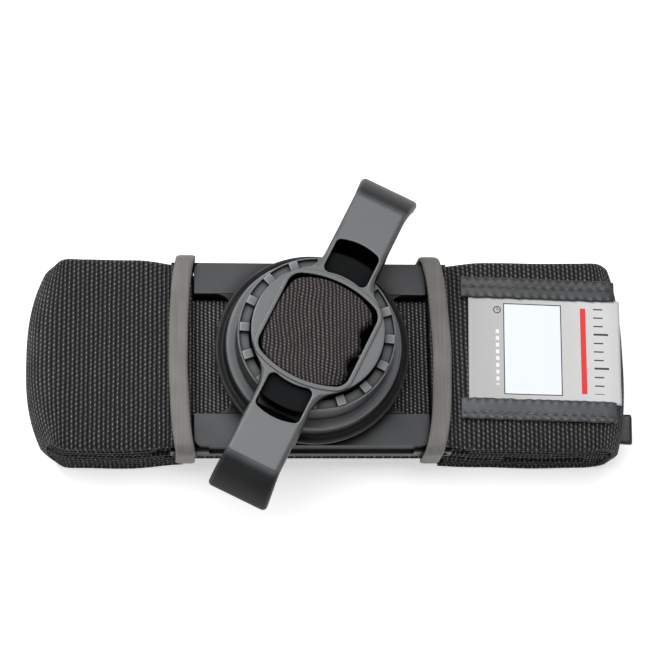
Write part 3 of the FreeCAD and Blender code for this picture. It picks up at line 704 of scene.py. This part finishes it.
def bundle(side, node, sign, foot, slider=None):
    spread, corner, taper = strap["shape"][side]
    low, high = edges(node)
    if sign < 0:
        low.x, high.x = -high.x, -low.x
    waist = high.x
    right = waist - foot
    bend = strapBend(low, high, waist, spread, corner, taper, sign)
    middle, tall = (low.z + high.z) / 2, (high.z - low.z) / 2
    thick = strap["thick"]

    def endAt(z):
        return low.x + thick + 0.35 + endInset((z - middle) / tall, strap["endRound"] - 1.0)

    wide = high.y - low.y
    route = wrapRoute(low, high, waist, right)
    wrap = ribbon("strapWrap" + side, route, (wide, thick, 0.0), finish["strap"], strap["step"],
                  strap["columns"], bend)
    ribs.on(wrap, Rib_pitch=strap["rib"], Rib_height=strap["ribHeight"], Wander=strap["wander"],
            Material=finish["strap"])
    wrapLength = routeLength(route)
    first = low.z + thick + strap["plyPitch"] / 2
    levels = [first + strap["plyPitch"] * i for i in range(strap["plies"])]
    half = strap["plyPitch"] / 2
    middleRuns = serpentine(levels[4:6], waist - 7.2, endAt, [(waist - 8.0, levels[5]), (waist, 13.4)])
    topRuns = serpentine(levels[6:], waist - 11.0, endAt)
    routes = [serpentine(levels[:4], right - half, endAt), middleRuns, topRuns]
    if slider:
        inner = [serpentine(levels[2:4], slider[0] - 1.2, endAt)]
        inner += [[(slider[1] + 1.2, z), (right, z)] for z in levels[2:4]]
        routes = [serpentine(levels[:2], right - half, endAt), middleRuns, topRuns] + inner
    random.seed(len(side))
    plies = []
    for route in routes:
        size = (wide - strap["plyNarrower"], thick, random.uniform(-0.5, 0.5))
        plies.append(ribbon("ply", route, size, finish["strap"], strap["plyStep"],
                            strap["plyColumns"], bend))
    plies = joined("strapPlies" + side, plies)
    plyLength = sum(routeLength(route) for route in routes)
    for piece, length in ((wrap, wrapLength), (plies, plyLength)):
        if sign < 0:
            turnOutwards(piece.data)
        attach(piece, "base")
        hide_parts(node)
        length * mm
        print(piece.name, "flat", round(wide, 1), "x", round(length, 1), "mm")


print("folded strap")
sliderLow, sliderHigh = edges("strap_slider")
bundle("Left", "strap_fold_left", 1, 2.2)
bundle("Right", "strap_fold_right", -1, 4.6, slider=(-sliderHigh.x, -sliderLow.x))


channel = {"overlap": 0.3, "sideGap": 0.2, "thinner": 0.5, "lower": 0.25, "step": 0.26, "columns": 60,
           "rib": 1.1, "ribHeight": 0.3, "wander": 0.35}


def channelRun(side, node):
    low, high = edges(node)
    middle = (low.z + high.z) / 2

    def bend(spot, share):
        dip = 0.35 * noise.noise((spot.x * 0.09, spot.y * 0.06, 2.0))
        return Vector((spot.x, spot.y, spot.z + dip - channel["lower"]))

    size = (high.y - low.y - 2 * channel["sideGap"], high.z - low.z - channel["thinner"], 0.0)
    route = [(low.x - channel["overlap"], middle), (high.x + channel["overlap"], middle)]
    run = ribbon("tensionRun" + side, route, size, finish["tension"], channel["step"],
                 channel["columns"], bend)
    ribs.on(run, Rib_pitch=channel["rib"], Rib_height=channel["ribHeight"], Wander=channel["wander"],
            Material=finish["tension"])
    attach(run, "base")
    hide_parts(node)


under = {"overlap": 0.9, "shift": -1.0, "columns": 40}


def underside():
    low, high = edges("strap_underside")
    half = strap["thick"] / 2
    size = (high.y - low.y, strap["thick"], under["shift"])
    plies = []
    for z in (low.z + half, high.z - half):
        route = [(low.x - under["overlap"], z), (high.x + under["overlap"], z)]
        plies.append(ribbon("ply", route, size, finish["strap"], strap["plyStep"], under["columns"]))
    piece = joined("strapUnderside", plies)
    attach(piece, "base")
    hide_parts("strap_underside")


anchor = {"thick": 1.7, "inset": 0.9, "step": 0.5, "columns": 40}


def anchorLoop(side, node, bar, sign):
    # a strap end that goes round its bar and back
    low, high = edges(node)
    barLow, barHigh = edges(bar)
    centre = ((barLow.x + barHigh.x) / 2, (barLow.z + barHigh.z) / 2)
    radius = (high.z - low.z) / 2 - anchor["inset"]
    tail = low.x if sign < 0 else high.x
    flip = 90 if sign < 0 else -90
    turn = arc(centre, radius, flip, flip - 180 * -sign * -1, 20)
    route = [(tail, centre[1] + radius * (1 if sign < 0 else -1))] + turn
    route.append((tail, centre[1] - radius * (1 if sign < 0 else -1)))
    loop = ribbon("anchorLoop" + side, route, (high.y - low.y, anchor["thick"], 0.0), finish["strap"],
                  anchor["step"], anchor["columns"])
    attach(loop, "base")
    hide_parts(node)
    routeLength(route) * mm


print("webbing runs")
channelRun("Left", "tension_webbing_left")
channelRun("Right", "tension_webbing_right")
underside()
anchorLoop("Left", "anchor_loop_left", "end_bar_left", -1)
anchorLoop("Right", "anchor_loop_right", "end_bar_right", 1)

# the hump of webbing in the window, turned with the windlass
hump = {"turn": 63.4, "halfU": 10.78, "bulge": 3.28, "halfV": 12.78, "rows": 104, "rib": 1.0,
        "ribHeight": 0.24, "crown": 1.3, "lift": 0.3, "topLimit": 0.7, "swell": 0.55, "edgeDrop": 1.2,
        "gaps": ((0.45, 0.3, 2.4), (-0.35, 0.25, 1.9)), "fray": 0.5}


def windowHump():
    low, high = edges("webbing_loop")
    axisX = (low.x + high.x) / 2
    angle = math.radians(hump["turn"])
    count = hump["rows"]
    top, uvs = [], []
    for i in range(count + 1):
        for j in range(count + 1):
            s, t = 2 * i / count - 1, 2 * j / count - 1
            gap = 0.0
            if t < 0:
                gap = sum(deep * math.exp(-((s - at) / run) ** 2) for at, run, deep in hump["gaps"])
                gap += hump["fray"] * noise.noise((s * 9.0, 4.0, 1.0))
            if t > 0:
                gap = 0.2 * smoothStep(s * 1.4 - 0.1)
            corner = 1 - 0.10 * (abs(s) * abs(t)) ** 4
            u = s * (hump["halfU"] + hump["bulge"] * (1 - t * t)) * corner
            v = t * (hump["halfV"] - gap * abs(t)) * corner
            x = u * math.cos(angle) - v * math.sin(angle)
            y = u * math.sin(angle) + v * math.cos(angle)
            weaveX = x + 0.7 * noise.noise((x * 0.12, y * 0.13, 7.0))
            weaveX += 0.12 * noise.noise((x * 0.5, y * 0.5, 1.0))
            rib = abs(math.sin(math.pi * weaveX / hump["rib"])) ** 0.75
            edge = min(1.0, (1 - abs(t)) * (10.0 if t < 0 else 24.0), (1 - abs(s)) * 28.0)
            z = high.z + hump["lift"] - hump["crown"] * abs(min(t, 0)) ** 3 - 0.5 * s * s
            z += hump["swell"] * noise.noise((x * 0.16, y * 0.16, 3.0))
            z -= hump["edgeDrop"] * (1 - math.sqrt(max(edge, 0.0)))
            z += hump["ribHeight"] * rib * edge
            top.append((axisX + x, y, min(z, high.z + hump["topLimit"])))
            uvs.append((weaveX + 0.5 * hump["rib"], y + 60))
    row = count + 1
    faces = [(i * row + j, i * row + j + 1, (i + 1) * row + j + 1, (i + 1) * row + j)
             for i in range(count) for j in range(count)]
    border = list(range(row)) + [i * row + count for i in range(1, row)]
    border += [count * row + j for j in range(count - 1, -1, -1)]
    border += [i * row for i in range(count - 1, 0, -1)]
    points = top + [(top[k][0], top[k][1], low.z + 0.2) for k in border]
    uvs += [uvs[k] for k in border]
    size = len(border)
    for k in range(size):
        following = (k + 1) % size
        faces.append((border[k], border[following], len(top) + following, len(top) + k))
    faces.append(tuple(len(top) + k for k in range(size)))
    piece = meshPiece("windowWebbing", points, faces, finish["hump"], uvs)
    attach(piece, "rotor")
    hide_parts("webbing_loop")


# window webbing tones: painted shade in valleys, painted light on crests, painted glints
humpTones = ((0.002, 0.002, 0.002), (0.075, 0.067, 0.066), (0.3, 0.27, 0.26))
finish["hump"] = wovenWebbing("windowWebbing", humpTones, hump["rib"], 0.85, 0.6)
print("window webbing")
windowHump()

# rubber keepers round the bundle
keeper = {"thick": 1.15, "round": 3.0, "step": 0.45, "columns": 10, "bow": 0.45, "crown": 0.25,
          "halfWidth": 27, "lean": {"Left": 1.5, "Right": 2.2}, "shift": {"Left": 0.0, "Right": -0.6}}


def keeperBand(side, node, sign):
    low, high = edges(node)
    thick = keeper["thick"]
    half = thick / 2
    y = high.y - half
    z0, z1 = low.z + half, high.z - half
    r = keeper["round"] - half
    route = arc((y - r, z1 - r), r, 0, 90) + arc((r - y, z1 - r), r, 90, 180)
    route += arc((r - y, z0 + r), r, 180, 270) + arc((y - r, z0 + r), r, 270, 360)
    route.append(route[0])
    middle = (low.x + high.x) / 2 + keeper["shift"][side]

    def bend(spot, across):
        y = spot.x
        share = y / keeper["halfWidth"]
        bow = keeper["bow"] * sign * (1 - share ** 2) + 0.25 * noise.noise((y * 0.08, sign, spot.z * 0.1))
        bow -= sign * keeper["lean"][side] * abs(share) ** 3
        crown = keeper["crown"] * (1 - share ** 2) if spot.z > 20 else 0.0
        return Vector((middle + spot.y + bow, y, spot.z + crown))

    band = ribbon("keeperBand" + side, route, (high.x - low.x, thick, 0.0), finish["keeper"],
                  keeper["step"], keeper["columns"], bend, closed=True)
    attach(band, "base")
    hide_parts(node)


print("keepers")
keeperBand("Left", "keeper_left", -1)
keeperBand("Right", "keeper_right", 1)

# the write-on label: sizes in millimetres from its near left corner
label = {"turn": -1.7, "shift": 1.2, "thick": 0.35, "box": (9.5, 25.4, 1.9, 27.5), "line": 0.28,
         "ticks": 34.2, "bar": 30.6}


def labelPrint(long, wide):
    r = Recipe("labelFace", Specular_IOR_Level=0.4)
    uv = r.uv("weave")
    u, v = uv.axis("X"), uv.axis("Y")

    def patch(u0, u1, v0, v1):
        return (u > u0) * (u < u1) * (v > v0) * (v < v1)

    u0, u1, v0, v1 = label["box"]
    line = label["line"]
    frameMask = patch(u0, u1, v0, v1)
    inside = patch(u0 + line, u1 - line, v0 + line, v1 - line)
    ruled = ((v / 2.4).calc("FRACT") < 0.16) * patch(label["ticks"], label["ticks"] + 2.6, 2.6, 26.8)
    longer = ((v / 9.6).calc("FRACT") < 0.06) * patch(label["ticks"], label["ticks"] + 4.0, 2.6, 26.8)
    bar = patch(label["bar"], label["bar"] + 1.5, 2.6, 26.8)
    dashes = ((v / 1.9).calc("FRACT") < 0.55) * patch(7.4, 8.3, 4.5, 20.0)
    du, dv = u - 7.8, v - 25.6
    away = (du * du + dv * dv).calc("SQRT")
    dial = (away > 0.75) * (away < 1.05) + patch(7.7, 7.95, 25.6, 26.3) + patch(7.7, 8.3, 25.5, 25.7)
    fleck = r.noise(r.stretched(uv, (4.0, 4.0, 1.0)), 1.0, 3.0, 0.8)
    cloud = r.noise(r.stretched(uv, (0.12, 0.2, 1.0)), 1.0, 2.0)
    paper = r.mix(r.between(fleck, 0.3, 0.7), rgb(0.33, 0.33, 0.33), rgb(0.48, 0.48, 0.48))
    paper = r.mix(r.between(u, 0.0, long, 0.0, 0.75), paper, rgb(0.74, 0.74, 0.74))
    paper = r.mix(cloud * 0.2, paper, rgb(0.5, 0.49, 0.48))
    colour = r.mix(frameMask, paper, rgb(0.03, 0.035, 0.045))
    colour = r.mix(inside, colour, rgb(0.80, 0.84, 0.90))
    colour = r.mix((ruled + longer).clamp(), colour, rgb(0.03, 0.03, 0.03))
    colour = r.mix(bar, colour, rgb(0.72, 0.02, 0.02))
    colour = r.mix(dashes, colour, rgb(0.82, 0.82, 0.82))
    colour = r.mix(dial.clamp(), colour, rgb(0.05, 0.05, 0.05))
    weave = (u * 14.0).calc("SINE") * (v * 14.0).calc("SINE")
    rough = r.between(fleck, 0.3, 0.7, 0.42, 0.58)
    return r.into(Base_Color=colour, Roughness=rough, Normal=r.bump(weave * 0.5 + fleck, 0.25, 0.00006))


def labelTurn(centre, lift):
    # label and bindings lie a little skew on the strap, with a soft swell
    angle = math.radians(label["turn"])

    def bend(spot, share):
        dx, dy = spot.x - centre[0], spot.y - centre[1]
        x = centre[0] + dx * math.cos(angle) - dy * math.sin(angle)
        y = centre[1] + dx * math.sin(angle) + dy * math.cos(angle)
        swell = 0.22 * noise.noise((x * 0.07, y * 0.05, 9.0))
        fall = -1.1 * smoothStep((dx - 14.5) / 9.0) ** 2
        return Vector((x, y, spot.z + swell + fall + lift))
    return bend


def timeLabel():
    low, high = edges("time_label")
    low.x += label["shift"]
    high.x += label["shift"] + 0.8
    long, wide = high.x - low.x, high.y - low.y
    centre = ((low.x + high.x) / 2, (low.y + high.y) / 2)
    z = low.z + label["thick"] / 2 + 0.25
    sheet = ribbon("timeLabel", [(low.x, z), (high.x, z)], (wide, label["thick"], centre[1]),
                   labelPrint(long, wide), 0.8, 36, labelTurn(centre, 0.0))
    for item in sheet.data.uv_layers["weave"].data:
        item.uv.y -= 60.0 - wide / 2
    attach(sheet, "base")
    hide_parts("time_label")
    return centre


binding = {"thick": 0.9, "step": 0.35, "columns": 26, "stitch": 2.5, "thread": 0.16, "pucker": 0.18}


def bindingTape(side, node, look, centre, stitchShare):
    low, high = edges(node)
    wide = high.y - low.y
    middle = (low.y + high.y) / 2
    lay = labelTurn(centre, 0.0)
    row = stitchShare * wide

    def bend(spot, share):
        away = (share * wide - row) / 0.55
        pull = binding["pucker"] * math.exp(-away * away)
        pull *= 0.65 + 0.35 * math.cos(2 * math.pi * spot.x / binding["stitch"])
        wave = 0.18 * math.sin(spot.x * 2 * math.pi / binding["stitch"] + 1.0) * abs(share * 2) ** 3
        spread = spot.y + 0.25 * noise.noise((spot.x * 0.35, share * 2, 4.0))
        return lay(Vector((spot.x, spread, spot.z - pull + wave + 0.12)), share)

    z = low.z + binding["thick"] / 2 + 0.35
    tape = ribbon("labelBinding" + side, [(low.x - 0.4, z), (high.x + 0.4, z)],
                  (wide, binding["thick"], middle), finish[look], binding["step"], binding["columns"], bend)
    points, links = [], []
    count = 60
    for k in range(count + 1):
        x = low.x + 0.8 + (high.x - low.x - 1.6) * k / count
        points.append(lay(Vector((x, middle + row, z + binding["thick"] / 2 - 0.02)), 0) * mm)
        if k:
            links.append((k - 1, k))
    mesh = bpy.data.meshes.new("bindingStitches" + side)
    mesh.from_pydata(points, links, [])
    row = bpy.data.objects.new("bindingStitches" + side, mesh)
    scene.collection.objects.link(row)
    stitches.on(row, Stitch_pitch=binding["stitch"] * mm, Stitch_length=binding["stitch"] * 0.72 * mm,
                Thread=binding["thread"] * mm, Jitter=0.25, Material=finish["thread"])
    for piece in (tape, row):
        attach(piece, "base")
        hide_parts(node)


def pullTab():
    low, high = edges("pull_tab")
    thick = 0.72
    z0, z1 = low.z + thick / 2, high.z - thick / 2
    r = (z1 - z0) / 2
    route = [(low.x, z0), (high.x - r - thick / 2, z0)]
    route += arc((high.x - r - thick / 2, z0 + r), r, -90, 90, 8)
    route.append((low.x, z1))

    def bend(spot, share):
        lift = 1.2 * smoothStep((spot.x - low.x) / 7)
        return Vector((spot.x, spot.y - 0.4 * lift, spot.z + lift * (0.5 + share)))

    size = (high.y - low.y, thick, (low.y + high.y) / 2)
    tab = ribbon("pullTab", route, size, finish["tab"], 0.3, 16, bend)
    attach(tab, "base")
    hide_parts("pull_tab")


print("label, bindings and pull tab")
labelCentre = timeLabel()
bindingTape("Rear", "label_binding_rear", "shaded_rear_binding", labelCentre, 0.06)
bindingTape("Front", "label_binding_front", "binding", labelCentre, -0.22)
pullTab()
